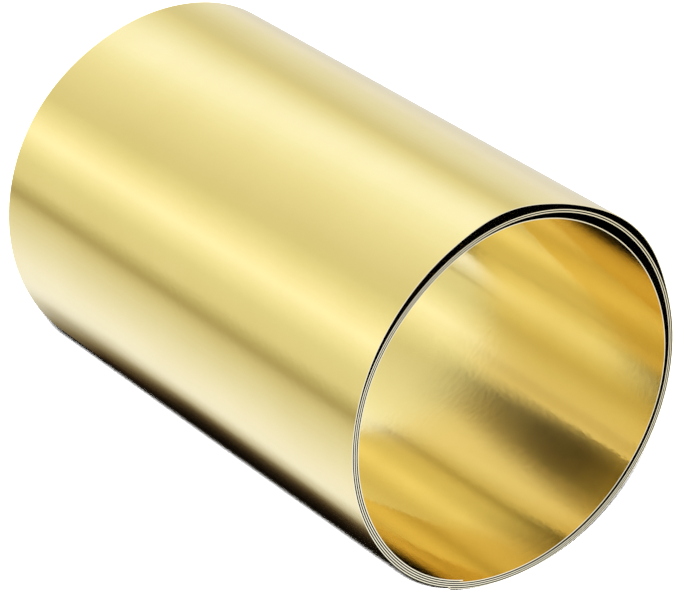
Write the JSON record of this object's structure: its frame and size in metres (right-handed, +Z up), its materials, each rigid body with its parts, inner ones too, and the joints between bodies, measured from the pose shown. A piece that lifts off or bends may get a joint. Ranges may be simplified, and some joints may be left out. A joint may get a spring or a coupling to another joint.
{
  "type": "sheet metal roll",
  "caption": "Loose roll of thin brass sheet lying on its side, wound as a springy spiral with square cut ends and a wide open bore, its outer turn sprung open over the top of one end.",
  "frame": {"origin": "on the floor, under the middle of the roll", "axes": "X across the roll, Y along its axis from the front end to the far end, Z up"},
  "size_m": [0.097, 0.15, 0.1007],
  "materials": {
    "brass_sheet": "bright rolled sheet with a fine grain along the winding"
  },
  "bodies": {
    "root": {"brass_sheet": "brass_sheet"}
  },
  "joints": []
}
